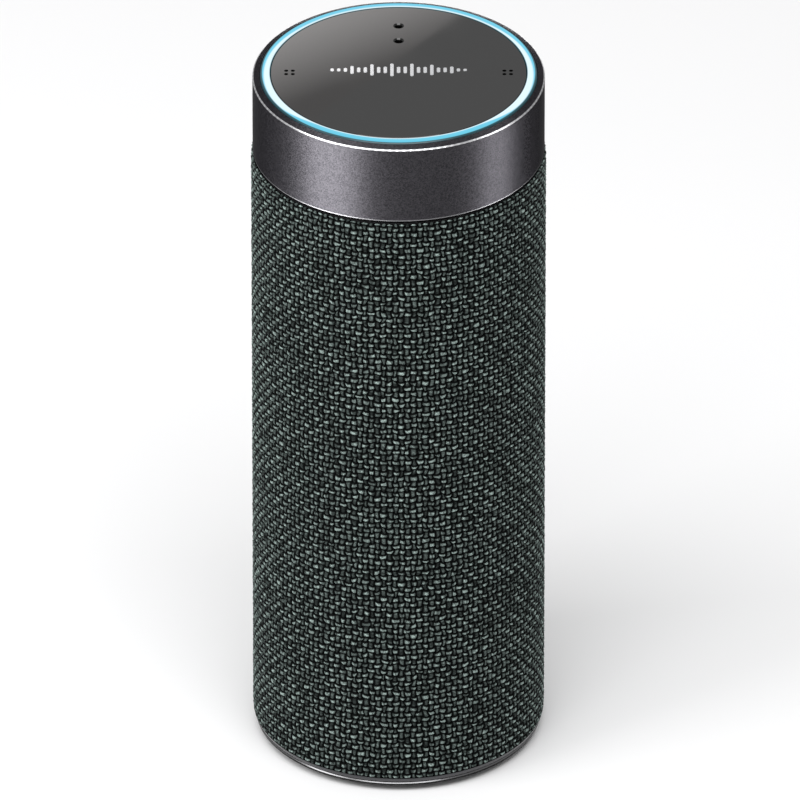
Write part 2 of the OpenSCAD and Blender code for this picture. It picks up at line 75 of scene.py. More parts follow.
CAMERA_TILT = 31.44
CAMERA_PLACE = (0.00042, -5.72, 3.61)
CAMERA_LENS = 994.5
CAMERA_FAR = 60


def make_camera():
    """A long lens in front of the speaker, looking down on it."""
    data = bpy.data.cameras.new("camera")
    data.lens = CAMERA_LENS
    data.clip_end = CAMERA_FAR
    camera = bpy.data.objects.new("camera", data)
    camera.location = CAMERA_PLACE
    camera.rotation_euler = (math.radians(90 - CAMERA_TILT), 0, 0)
    bpy.context.scene.collection.objects.link(camera)
    bpy.context.scene.camera = camera


FLOOR_HALF = 9.0
FLOOR_COLOUR = (0.88, 0.88, 0.885, 1)


def make_floor():
    """A wide pale floor that fills the view."""
    corners = [(-1, -1), (1, -1), (1, 1), (-1, 1)]
    mesh = bpy.data.meshes.new("floor")
    mesh.from_pydata([(x * FLOOR_HALF, y * FLOOR_HALF, 0) for x, y in corners], [], [(0, 1, 2, 3)])
    floor = bpy.data.objects.new("floor", mesh)
    bpy.context.scene.collection.objects.link(floor)
    graph = Graph("floor", **{"Base Color": FLOOR_COLOUR, "Roughness": 0.9, "Specular IOR Level": 0.1})
    mesh.materials.append(graph.material)


STUDIO_LEVEL = 0.5
BACK_WALL_LEVEL = 0.28

# Name, azimuth, elevation, distance, size and radiance of the boxes that light everything
STUDIO_BOXES = (
    ("front_box", 0, 62, 1.6, (1.5, 1.0), 4.8),
    ("left_fill", -65, 28, 1.2, (0.6, 0.6), 6.0),
    ("back_wall", 180, CAMERA_TILT, 1.8, (2.4, 1.0), BACK_WALL_LEVEL),
)

# The same for the boxes that draw the upright highlights on the collar and light nothing else
COLLAR_BOXES = (
    ("left_box", -50, 4, 0.7, (0.50, 0.45), 40),
    ("right_box", 75, 4, 0.7, (0.28, 0.45), 28),
    ("rear_box", 178, 4, 0.7, (0.30, 0.45), 28),
)


def softbox(name, azimuth, elevation, distance, size, radiance):
    """A rectangular light aimed at the collar. Azimuth 0 is in front of it and 90 on its right."""
    light = bpy.data.lights.new(name, "AREA")
    light.shape = "RECTANGLE"
    light.size, light.size_y = size
    light.energy = radiance * math.pi * size[0] * size[1]
    a, e = math.radians(azimuth), math.radians(elevation)
    away = Vector((math.sin(a) * math.cos(e), -math.cos(a) * math.cos(e), math.sin(e)))
    lamp = bpy.data.objects.new(name, light)
    lamp.location = Vector((0, 0, (collar_low.z + collar_high.z) / 2)) + away * distance
    lamp.rotation_mode = "QUATERNION"
    lamp.rotation_quaternion = away.to_track_quat("Z", "Y")
    bpy.context.scene.collection.objects.link(lamp)
    return lamp


def make_lights():
    """An even white surround, the studio's boxes and the collar's own boxes."""
    world = bpy.data.worlds.new("studio")
    world.use_nodes = True
    background = world.node_tree.nodes["Background"]
    background.inputs["Color"].default_value = (1, 1, 1, 1)
    background.inputs["Strength"].default_value = STUDIO_LEVEL
    bpy.context.scene.world = world
    for box in STUDIO_BOXES:
        softbox(*box)
    collar_only = bpy.data.collections.new("collar_only")
    collar_only.objects.link(frame["nodes"]["collar"])
    for box in COLLAR_BOXES:
        softbox(*box).light_linking.receiver_collection = collar_only


# The reflector card's outline, in millimetres on the plate where its reflection shows
CARD_DISTANCE = 0.35
CARD_SLANT = Vector((15.8, 22.2)).normalized()
CARD_EDGE = Vector((1.3, 10.0))
CARD_FAR = (Vector((-50, -41)), Vector((-50, 43)))
CARD_WARMTH = (1, 0.97, 0.96, 1)
CARD_RISE = 0.042


def seen_in_plate(x, y):
    """The place, a card's distance away, that the camera sees mirrored at (x, y) on the top plate."""
    spot = Vector((x, y, plate_high.z))
    ray = (spot - Vector(CAMERA_PLACE)).normalized()
    ray.z = -ray.z
    return spot + ray * CARD_DISTANCE


def make_reflector_card():
    """A small graded card behind the speaker, whose slanted edge shows in the gloss plate."""
    outline = [CARD_EDGE + CARD_SLANT * 40, CARD_EDGE - CARD_SLANT * 60, *CARD_FAR]
    mesh = bpy.data.meshes.new("reflector_card")
    mesh.from_pydata([seen_in_plate(x * MM, y * MM) for x, y in outline], [], [(0, 1, 2, 3)])
    layer = mesh.uv_layers.new(name="plate")
    for loop, place in zip(layer.data, outline):
        loop.uv = place
    card = bpy.data.objects.new("reflector_card", mesh)
    bpy.context.scene.collection.objects.link(card)
    card.visible_camera = False
    dull_black = {"Base Color": (0, 0, 0, 1), "Roughness": 1, "Specular IOR Level": 0}
    graph = Graph("reflector_card", **dull_black)
    uv = graph.tree.nodes.new("ShaderNodeUVMap")
    uv.uv_map = "plate"
    x, y, _ = graph.parts(uv.outputs[0])
    corner_ward = graph.math("SUBTRACT", graph.math("MULTIPLY", y, 1.3), x)
    past = graph.math("MAXIMUM", graph.math("SUBTRACT", corner_ward, 8), 0)
    lift = graph.math("MULTIPLY", past, CARD_RISE)
    graph.drive("Emission Strength", graph.math("ADD", lift, STUDIO_LEVEL + BACK_WALL_LEVEL))
    graph.shader.inputs["Emission Color"].default_value = CARD_WARMTH
    mesh.materials.append(graph.material)


# ---- Material building ----

class Graph:
    """A material's node tree, with short calls for the nodes used here."""

    def __init__(self, name, **sockets):
        self.material = bpy.data.materials.new(name)
        self.material.use_nodes = True
        self.tree = self.material.node_tree
        self.shader = self.tree.nodes["Principled BSDF"]
        for socket, value in sockets.items():
            self.shader.inputs[socket].default_value = value

    def plug(self, socket, value):
        """Sets a socket to a number or links it to another node's output."""
        if isinstance(value, bpy.types.NodeSocket):
            self.tree.links.new(value, socket)
        else:
            socket.default_value = value

    def drive(self, socket, value):
        self.plug(self.shader.inputs[socket], value)

    def math(self, operation, *values):
        made = self.tree.nodes.new("ShaderNodeMath")
        made.operation = operation
        for socket, value in zip(made.inputs, values):
            self.plug(socket, value)
        return made.outputs[0]

    def ramp(self, value, start, end, low=0.0, high=1.0):
        """Goes smoothly from low to high as value goes from start to end."""
        made = self.tree.nodes.new("ShaderNodeMapRange")
        made.interpolation_type = "SMOOTHSTEP"
        for socket, number in zip(made.inputs, (value, start, end, low, high)):
            self.plug(socket, number)
        return made.outputs[0]

    def mix(self, factor, a, b):
        """Mixes two colours."""
        made = self.tree.nodes.new("ShaderNodeMix")
        made.data_type = "RGBA"
        self.plug(made.inputs[0], factor)
        self.plug(made.inputs[6], a)
        self.plug(made.inputs[7], b)
        return made.outputs[2]

    def place(self):
        """The position on the piece, in metres."""
        return self.tree.nodes.new("ShaderNodeTexCoord").outputs["Object"]

    def parts(self, vector):
        made = self.tree.nodes.new("ShaderNodeSeparateXYZ")
        self.plug(made.inputs[0], vector)
        return made.outputs

    def vector(self, x, y, z=0.0):
        made = self.tree.nodes.new("ShaderNodeCombineXYZ")
        for socket, value in zip(made.inputs, (x, y, z)):
            self.plug(socket, value)
        return made.outputs[0]

    def stretched(self, scale):
        """The position, scaled by a different amount on each axis."""
        made = self.tree.nodes.new("ShaderNodeMapping")
        self.plug(made.inputs["Vector"], self.place())
        made.inputs["Scale"].default_value = scale
        return made.outputs[0]

    def noise(self, vector, scale, detail=2.0):
        made = self.tree.nodes.new("ShaderNodeTexNoise")
        self.plug(made.inputs["Vector"], vector)
        made.inputs["Scale"].default_value = scale
        made.inputs["Detail"].default_value = detail
        return made.outputs[0]

    def speckle(self, vector, scale):
        made = self.tree.nodes.new("ShaderNodeTexVoronoi")
        self.plug(made.inputs["Vector"], vector)
        made.inputs["Scale"].default_value = scale
        return made.outputs["Color"]

    def bump(self, height, distance, strength=1.0):
        made = self.tree.nodes.new("ShaderNodeBump")
        made.inputs["Distance"].default_value = distance
        made.inputs["Strength"].default_value = strength
        self.plug(made.inputs["Height"], height)
        self.drive("Normal", made.outputs[0])


def shade(colour, factor):
    """A colour made lighter or darker."""
    return (*[channel * factor for channel in colour], 1)


# ---- One function for each kind of surface ----

def moulded(name, colour, roughness, grain=2600, depth=0.012):
    """Moulded plastic or rubber with a fine spark-eroded grain."""
    graph = Graph(name)
    fine = graph.noise(graph.place(), grain, 3)
    broad = graph.noise(graph.place(), 60)
    graph.drive("Base Color", graph.mix(fine, shade(colour, 0.8), shade(colour, 1.25)))
    graph.drive("Roughness", graph.ramp(broad, 0.3, 0.7, roughness - 0.05, roughness + 0.05))
    graph.bump(fine, depth * MM)
    return graph.material


def metal(name, colour, roughness, stretch=(400, 400, 5000)):
    """Bare or plated metal with fine tool marks."""
    graph = Graph(name, Metallic=1.0)
    marks = graph.noise(graph.stretched(stretch), 1)
    graph.drive("Base Color", graph.mix(marks, shade(colour, 0.85), shade(colour, 1.1)))
    graph.drive("Roughness", graph.ramp(marks, 0.3, 0.7, roughness * 0.8, roughness * 1.2))
    graph.bump(marks, 0.004 * MM)
    return graph.material


def foot_rubber():
    return moulded("foot_rubber", (0.012, 0.012, 0.012), 0.75, 1800, 0.02)


def black_plastic():
    return moulded("black_plastic", (0.011, 0.011, 0.012), 0.42)


def inner_plastic():
    return moulded("inner_plastic", (0.03, 0.03, 0.032), 0.5)


def key_plastic():
    return moulded("key_plastic", (0.016, 0.016, 0.017), 0.35, 3500, 0.008)


def gasket_rubber():
    return moulded("gasket_rubber", (0.03, 0.03, 0.03), 0.85, 1500, 0.03)


def radiator_mass():
    return moulded("radiator_mass", (0.02, 0.02, 0.022), 0.55)


def wire_jacket():
    return moulded("wire_jacket", (0.35, 0.03, 0.025), 0.4)


def chip_black():
    return moulded("chip_black", (0.02, 0.02, 0.021), 0.5, 4000)


def magnet_ferrite():
    return moulded("magnet_ferrite", (0.035, 0.035, 0.038), 0.55, 900, 0.03)


def cell_wrap():
    return moulded("cell_wrap", (0.03, 0.14, 0.11), 0.28, 300, 0.01)


def screw_steel():
    return metal("screw_steel", (0.55, 0.55, 0.56), 0.3)


def shield_steel():
    return metal("shield_steel", (0.6, 0.6, 0.58), 0.35, (2500, 200, 200))


def basket_steel():
    return metal("basket_steel", (0.25, 0.25, 0.26), 0.4)


POLISH_MARKS = (60, 60, 6000)


def silver_trim():
    """Dark polished trim, painted lighter along its lip as a highlight and near black on its underside as
    shade.
    """
    graph = Graph("silver_trim", Metallic=1.0, Roughness=0.22)
    height = graph.parts(graph.place())[2]
    marks = graph.noise(graph.stretched(POLISH_MARKS), 1)
    band = graph.mix(marks, (0.06, 0.06, 0.064, 1), (0.09, 0.09, 0.095, 1))
    # Painted highlight: between 2.8 and 3.08 mm up the trim's colour is lighter, standing in for a
    # reflection on the lip
    above_painted_highlight = graph.ramp(height, 3.08 * MM, 3.13 * MM)
    lip = graph.mix(above_painted_highlight, (0.17, 0.17, 0.175, 1), band)
    # Painted shade: below 2.74 mm the trim is painted near black
    above_painted_shade = graph.ramp(height, 2.74 * MM, 2.8 * MM)
    graph.drive("Base Color", graph.mix(above_painted_shade, (0.012, 0.012, 0.012, 1), lip))
    return graph.material


def silver_mark():
    return metal("silver_mark", (0.72, 0.73, 0.75), 0.16, POLISH_MARKS)


def coil_copper():
    """Enamelled wire, wound in close turns, painted lighter on each turn's crest as highlight and darker
    between turns as shade.
    """
    graph = Graph("coil_copper", Metallic=1.0, Roughness=0.3)
    y = graph.parts(graph.place())[1]
    turns = graph.math("SINE", graph.math("MULTIPLY", y, 2 * math.pi / (0.25 * MM)))
    # Painted light: lighter on the crests of the turns, with painted shade between them
    painted_crest_light = graph.ramp(turns, -1, 1)
    graph.drive("Base Color", graph.mix(painted_crest_light, (0.3, 0.09, 0.03, 1), (0.8, 0.32, 0.14, 1)))
    graph.bump(turns, 0.05 * MM)
    return graph.material


def circuit_board():
    """Green solder mask over fine copper tracks."""
    graph = Graph("circuit_board", Roughness=0.32)
    place = graph.place()
    tracks = graph.tree.nodes.new("ShaderNodeTexBrick")
    graph.plug(tracks.inputs["Vector"], place)
    tracks.inputs["Scale"].default_value = 260
    tracks.inputs["Mortar Size"].default_value = 0.09
    filled = graph.ramp(graph.noise(place, 120), 0.45, 0.6)
    copper = graph.math("MULTIPLY", tracks.outputs["Fac"], filled)
    graph.drive("Base Color", graph.mix(copper, (0.006, 0.06, 0.025, 1), (0.02, 0.16, 0.06, 1)))
    graph.bump(copper, 0.03 * MM)
    return graph.material


def light_pipe():
    """Frosted clear plastic."""
    graph = Graph("light_pipe", **{"Transmission Weight": 0.5, "IOR": 1.49})
    cloud = graph.noise(graph.place(), 1500)
    graph.drive("Base Color", graph.mix(cloud, (0.7, 0.72, 0.72, 1), (0.9, 0.92, 0.92, 1)))
    graph.drive("Roughness", graph.ramp(cloud, 0.3, 0.7, 0.25, 0.45))
    return graph.material


def ribbon_film():
    """Amber flexible film with parallel conductors."""
    graph = Graph("ribbon_film", Roughness=0.3)
    x = graph.parts(graph.place())[0]
    lines = graph.math("SINE", graph.math("MULTIPLY", x, 2 * math.pi / (0.8 * MM)))
    conductor = graph.ramp(lines, -0.2, 0.2)
    graph.drive("Base Color", graph.mix(conductor, (0.28, 0.1, 0.02, 1), (0.5, 0.25, 0.08, 1)))
    graph.bump(lines, 0.02 * MM)
    return graph.material


def light_chip():
    """White package of a light-emitting diode with a yellowish lens."""
    graph = Graph("light_chip", Roughness=0.35)
    spots = graph.ramp(graph.noise(graph.place(), 900), 0.45, 0.6)
    graph.drive("Base Color", graph.mix(spots, (0.75, 0.75, 0.72, 1), (0.7, 0.62, 0.25, 1)))
    return graph.material


def cone_paper():
    """Pressed pulp with short fibres."""
    graph = Graph("cone_paper", **{"Specular IOR Level": 0.25})
    fibres = graph.noise(graph.place(), 1400, 6)
    graph.drive("Base Color", graph.mix(fibres, (0.012, 0.012, 0.012, 1), (0.06, 0.058, 0.055, 1)))
    graph.drive("Roughness", graph.ramp(fibres, 0.3, 0.7, 0.7, 0.9))
    graph.bump(fibres, 0.06 * MM)
    return graph.material


def spider_cloth():
    """Open resin-dipped cloth, painted lighter where the weave rises as highlight and darker in the dips
    as shade.
    """
    graph = Graph("spider_cloth", Roughness=0.8)
    x, _, z = graph.parts(graph.place())
    thread = 2 * math.pi / (0.6 * MM)
    weave = graph.math(
        "MULTIPLY", graph.math("SINE", graph.math("MULTIPLY", x, thread)),
        graph.math("SINE", graph.math("MULTIPLY", z, thread)))
    # Painted light: lighter where the weave rises, with painted shade where it dips
    painted_crest_light = graph.ramp(weave, -0.6, 0.6)
    graph.drive("Base Color", graph.mix(painted_crest_light, (0.3, 0.16, 0.05, 1), (0.6, 0.4, 0.18, 1)))
    graph.bump(weave, 0.05 * MM)
    return graph.material


def gloss_plate():
    """Black gloss plate with the faint unevenness of moulded acrylic."""
    graph = Graph("gloss_plate", **{"IOR": 1.5})
    broad = graph.noise(graph.place(), 45)
    dust = graph.ramp(graph.noise(graph.place(), 5200), 0.72, 0.8)
    graph.drive("Base Color", graph.mix(dust, (0.003, 0.003, 0.003, 1), (0.02, 0.02, 0.02, 1)))
    graph.drive("Roughness", graph.ramp(broad, 0.3, 0.7, 0.035, 0.06))
    return graph.material


def collar_paint():
    """Dark metallic paint with fine flakes, and bare polished metal on the two outer edges."""
    graph = Graph("collar_paint", **{"Anisotropic": 0.8, "Anisotropic Rotation": 0.25, "Metallic": 0.95,
                                     "Specular Tint": (0.3, 0.3, 0.3, 1)})
    place = graph.place()
    x, y, z = graph.parts(place)
    radius = graph.math("POWER", graph.math(
        "ADD", graph.math("MULTIPLY", x, x), graph.math("MULTIPLY", y, y)), 0.5)
    below_top = graph.math("SUBTRACT", collar_high.z - 0.75 * MM, z)
    from_corner = graph.math("ADD", graph.math("SUBTRACT", COLLAR_R, radius), below_top)
    top_edge = graph.ramp(graph.math("ABSOLUTE", graph.math("SUBTRACT", from_corner, 0.2 * MM)),
                          0.13 * MM, 0.19 * MM, 1.0, 0.0)
    low_edge = graph.ramp(z, collar_low.z + 0.5 * MM, collar_low.z + 0.6 * MM, 1.0, 0.0)
    outside = graph.ramp(radius, COLLAR_R - 0.6 * MM, COLLAR_R - 0.5 * MM)
    low_line = graph.math("MULTIPLY", graph.math("MULTIPLY", low_edge, outside), 0.2)
    polished = graph.math("MAXIMUM", top_edge, low_line)
    flakes = graph.parts(graph.speckle(place, 3400))[0]
    paint = graph.mix(flakes, (0.020, 0.0195, 0.022, 1), (0.046, 0.044, 0.049, 1))
    graph.drive("Base Color", graph.mix(polished, paint, (0.82, 0.82, 0.84, 1)))
    graph.drive("Roughness", graph.math("MULTIPLY", graph.ramp(polished, 0, 1, 1, 0.45),
                                        graph.ramp(flakes, 0, 1, 0.46, 0.54)))
    tangent = graph.tree.nodes.new("ShaderNodeTangent")
    tangent.direction_type = "RADIAL"
    tangent.axis = "Z"
    graph.drive("Tangent", tangent.outputs[0])
    graph.bump(graph.math("MULTIPLY", flakes, graph.math("SUBTRACT", 1, polished)), 0.006 * MM)
    return graph.material


RING_WIDTH = 2.9 * MM


def light_diffuser():
    """Milky ring lit from below: cyan outside and nearly white inside, which widens at its sides."""
    graph = Graph("light_diffuser", Roughness=0.3, **{"Emission Strength": 1.0})
    x, y, _ = graph.parts(graph.place())
    radius = graph.math("POWER", graph.math(
        "ADD", graph.math("MULTIPLY", x, x), graph.math("MULTIPLY", y, y)), 0.5)
    across = graph.math("DIVIDE", graph.math("SUBTRACT", radius, RING_R - RING_WIDTH), RING_WIDTH)
    side = graph.math("ABSOLUTE", graph.math("DIVIDE", x, radius))
    forward = graph.math("DIVIDE", y, graph.math("MULTIPLY", radius, -2))
    width = graph.math("ADD", 0.22, graph.math(
        "MULTIPLY", graph.ramp(side, 0.6, 0.95), graph.math("ADD", forward, 0.42)))
    beyond = graph.math("SUBTRACT", across, width)
    pale = graph.ramp(beyond, -0.12, 0.12, 1, 0)
    lit = graph.math("MULTIPLY", graph.ramp(across, 0.0, 0.09), graph.ramp(across, 0.76, 0.88, 1, 0))
    glow = graph.mix(pale, (0.10, 0.50, 0.68, 1), (0.72, 0.84, 0.89, 1))
    graph.drive("Emission Color", graph.mix(lit, (0.004, 0.05, 0.065, 1), glow))
    graph.drive("Base Color", graph.mix(lit, (0.004, 0.01, 0.012, 1), (0.02, 0.07, 0.09, 1)))
    return graph.material


# The weave. A yarn's height is part round section and part rise over the yarns it crosses.
YARNS_AROUND = 152
YARN_ROWS = 106
YARN_ROUND = 0.56
YARN_RISE = 0.44
FLOAT_FLATNESS = 1.45
PLY_TWIST = 1.5
# Share of the painted highlight that the warp crowns get; the rest is painted shade, keeping the warp
# darker than the weft
WARP_PAINTED_HIGHLIGHT_SHARE = 0.35


def woven_fabric():
    """Heather yarns in a plain weave, uneven along each yarn, with painted highlight as pale dashes on the
    weft crowns and painted shade in the valleys, where the warp floats are also painted darker than the
    weft.
    """
    graph = Graph("woven_fabric", **{"Roughness": 0.6, "Specular IOR Level": 0.05})
    uv = graph.tree.nodes.new("ShaderNodeUVMap")
    uv.uv_map = "weave"
    u, v, _ = graph.parts(uv.outputs[0])

    def yarn(across, along, sign, spread, seed):
        """Height of one set of yarns, which rise over and dip under the other set, and their brightness:
        heather tone with a painted highlight on each float's crown and painted shade on its sides and
        where it dips under.
        """
        part = graph.math("SUBTRACT", graph.math("MULTIPLY", graph.math("FRACT", across), 2), 1)
        section = graph.math("SUBTRACT", 1, graph.math("MULTIPLY", part, part))
        line = graph.math("FLOOR", across)
        half_turns = graph.math("ADD", graph.math("SUBTRACT", along, 0.5), line)
        turn = graph.math("MULTIPLY", half_turns, math.pi)
        swing = graph.math("MULTIPLY", graph.math("COSINE", turn), FLOAT_FLATNESS)
        wave = graph.math("MULTIPLY", graph.math("SINE", swing), sign)
        height = graph.math("ADD", graph.math("MULTIPLY", section, YARN_ROUND),
                            graph.math("MULTIPLY", wave, YARN_RISE))
        drift = graph.vector(graph.math("ADD", graph.math("MULTIPLY", line, 7.31), seed),
                             graph.math("MULTIPLY", along, spread))
        tone = graph.ramp(graph.noise(drift, 1, 1), 0.3, 0.66, 0.15, 1.0)
        twist = graph.math("ADD", graph.math("MULTIPLY", along, PLY_TWIST), across)
        ply = graph.ramp(graph.math("SINE", graph.math("MULTIPLY", twist, 2 * math.pi)), -1, 1, 0.75, 1.0)
        # Painted highlight on the crown of each float, with painted shade on its sides and where it dips
        # under, times the heather tone and the ply stripes
        glow = graph.math("MULTIPLY", graph.ramp(section, 0.66, 1.0), graph.ramp(wave, -0.1, 0.7))
        glow = graph.math("MULTIPLY", graph.math("MULTIPLY", glow, tone), ply)
        return height, glow

    warp, warp_tone_and_painted_highlight = yarn(u, v, 1, 0.84, 11.7)
    weft, weft_tone_and_painted_highlight = yarn(v, u, -1, 1.2, 503.3)
    over = graph.ramp(graph.math("SUBTRACT", warp, weft), -0.03, 0.03)
    # Painted light: the weft's highlighted crowns, and the warp's crowns partly painted in shade
    light = graph.math("ADD", graph.math("MULTIPLY", graph.math("SUBTRACT", 1, over), weft_tone_and_painted_highlight),
                       graph.math("MULTIPLY", over, graph.math("MULTIPLY", warp_tone_and_painted_highlight, WARP_PAINTED_HIGHLIGHT_SHARE)))
    yarn_place = graph.vector(graph.math("MULTIPLY", u, 3), graph.math("MULTIPLY", v, 3))
    fibres = graph.noise(yarn_place, 1.6, 3)
    light = graph.math("MULTIPLY", light, graph.ramp(fibres, 0.32, 0.68, 0.4, 1.35))
    # The near-black colour is painted shade in the valleys; the pale colour is the highlighted yarn
    graph.drive("Base Color", graph.mix(light, (0.001, 0.0014, 0.0014, 1), (0.34, 0.43, 0.40, 1)))
    return graph.material


# ---- Woven sleeve ----

# The body's rounded lower edge. The cloth ends at an angle below the horizontal on it.
EDGE_R = 5 * MM
EDGE_Z = 6.3 * MM
SLEEVE_END = 13
SLEEVE_RELIEF = 1.08 * MM
TOP_ROUND = 0.5 * MM
TOP_TUCK = 1.1 * MM
SAMPLES = np.array((0.0, 0.09, 0.22, 0.36, 0.5, 0.64, 0.78, 0.91))
PLY_RELIEF = 0.05
SLUB = 0.1

# The opening round the rear panel, the cloth that rolls in beside it and the seam above it
CUT_GAP = 0.25 * MM
CUT_CORNER = 3.25 * MM
CUT_SNAP = 0.2 * MM
CUT_STEP = 0.02 * MM
ROLL_WIDTH = 0.7 * MM
ROLL_DEPTH = 0.75 * MM
SEAM_WIDTH = 0.45 * MM
SEAM_DEPTH = 0.3 * MM


def sleeve_profile():
    """Radius and height along the sleeve, from its lower edge to its tucked top edge."""
    centre_r = SLEEVE_R - EDGE_R
    top = sleeve_high.z
    hem = [(SLEEVE_END, 0.6 * MM), (SLEEVE_END, 0.2 * MM), (SLEEVE_END - 1, 0.05 * MM)]
    hem += [(angle, 0) for angle in np.linspace(SLEEVE_END - 2, 0, 5)]
    points = []
    for angle, depth in hem:
        a = math.radians(angle)
        points.append((centre_r + (EDGE_R - depth) * math.cos(a), EDGE_Z - (EDGE_R - depth) * math.sin(a)))
    for a in np.radians(np.linspace(0, 90, 9)):
        points.append((SLEEVE_R - TOP_ROUND * (1 - math.cos(a)), top - TOP_ROUND * (1 - math.sin(a))))
    points.append((SLEEVE_R - TOP_TUCK, top))
    return np.array(points)


def along(points, fractions):
    """Points and unit normals at fractions of a polyline's length."""
    steps = np.hypot(*np.diff(points, axis=0).T)
    reach = np.concatenate([[0], np.cumsum(steps)])
    at = fractions * reach[-1]
    place = np.stack([np.interp(at, reach, points[:, i]) for i in (0, 1)], 1)
    tangent = np.gradient(place, axis=0)
    tangent /= np.linalg.norm(tangent, axis=1, keepdims=True)
    return place, np.stack([tangent[:, 1], -tangent[:, 0]], 1)


def fade(t):
    return t * t * (3 - 2 * t)


def soft_noise(shape, cells, random):
    """Smooth noise from -1 to 1 that closes on itself around the columns."""
    rows, columns = shape
    grid = random.uniform(-1, 1, cells)
    v = np.linspace(0, cells[0] - 1, rows)
    u = np.arange(columns) / columns * cells[1]
    v0 = np.minimum(v.astype(int), cells[0] - 2)
    u0 = u.astype(int)
    u1 = (u0 + 1) % cells[1]
    tv, tu = fade(v - v0)[:, None], fade(u - u0)[None]
    low = grid[v0][:, u0] * (1 - tu) + grid[v0][:, u1] * tu
    high = grid[v0 + 1][:, u0] * (1 - tu) + grid[v0 + 1][:, u1] * tu
    return low * (1 - tv) + high * tv


def yarn_height(across, along_yarn, sign):
    """Height of round yarns that rise over, or dip under, each yarn that they cross."""
    section = 1 - (2 * (across - np.floor(across)) - 1) ** 2
    wave = np.sin(FLOAT_FLATNESS * np.cos(np.pi * (along_yarn - 0.5 + np.floor(across))))
    ply = np.sin(2 * np.pi * (PLY_TWIST * along_yarn + across))
    return YARN_ROUND * section + sign * YARN_RISE * wave + PLY_RELIEF * section * ply


def cut_distance(x, z):
    """Signed distance to the rounded opening round the rear panel, below zero inside it."""
    half_x = panel_high.x + CUT_GAP - CUT_CORNER
    half_z = (panel_high.z - panel_low.z) / 2 + CUT_GAP - CUT_CORNER
    qx = np.abs(x) - half_x
    qz = np.abs(z - (panel_low.z + panel_high.z) / 2) - half_z
    outside = np.hypot(np.maximum(qx, 0), np.maximum(qz, 0))
    return outside + np.minimum(np.maximum(qx, qz), 0) - CUT_CORNER


def snap_to_cut(angle, z):
    """Moves the nearest points onto the opening's outline.

    Returns the angle, the height, the distance round from the back's middle and the distance to the
    outline.
    """
    from_rear = (angle - np.pi / 2 + np.pi) % (2 * np.pi) - np.pi
    x = -from_rear * SLEEVE_R
    gap = cut_distance(x, z)
    slope_x = (cut_distance(x + CUT_STEP, z) - cut_distance(x - CUT_STEP, z)) / (2 * CUT_STEP)
    slope_z = (cut_distance(x, z + CUT_STEP) - cut_distance(x, z - CUT_STEP)) / (2 * CUT_STEP)
    near = np.abs(gap) < CUT_SNAP
    x = np.where(near, x - gap * slope_x, x)
    z = np.where(near, z - gap * slope_z, z)
    angle = np.where(near, np.pi / 2 - x / SLEEVE_R, angle)
    return angle, z, x, np.where(near, 0, gap)


def wrapped_faces(U, V):
    """Four-sided faces of a grid whose last column joins its first, and their corners counted in yarns."""
    rows, columns = U.shape
    start = np.arange(rows - 1)[:, None] * columns + np.arange(columns)[None]
    right = np.arange(rows - 1)[:, None] * columns + (np.arange(columns)[None] + 1) % columns
    faces = np.stack([start, right, right + columns, start + columns], -1).reshape(-1, 4)
    column = faces % columns
    across_join = (column == 0) & (column.max(1, keepdims=True) == columns - 1)
    uv_u = U.ravel()[faces] + YARNS_AROUND * across_join
    return faces, np.stack([uv_u, V.ravel()[faces]], -1)


def mesh_from(name, co, faces, uv=None):
    """A mesh object from arrays of points and four-sided faces."""
    mesh = bpy.data.meshes.new(name)
    mesh.vertices.add(len(co))
    mesh.vertices.foreach_set("co", co.astype(np.float32).ravel())
    mesh.loops.add(faces.size)
    mesh.loops.foreach_set("vertex_index", faces.astype(np.int32).ravel())
    mesh.polygons.add(len(faces))
    mesh.polygons.foreach_set("loop_start", np.arange(len(faces), dtype=np.int32) * 4)
    mesh.update(calc_edges=True)
    mesh.shade_smooth()
    if uv is not None:
        layer = mesh.uv_layers.new(name="weave")
        layer.data.foreach_set("uv", uv.astype(np.float32).ravel())
    piece = bpy.data.objects.new(name, mesh)
    bpy.context.scene.collection.objects.link(piece)
    return piece


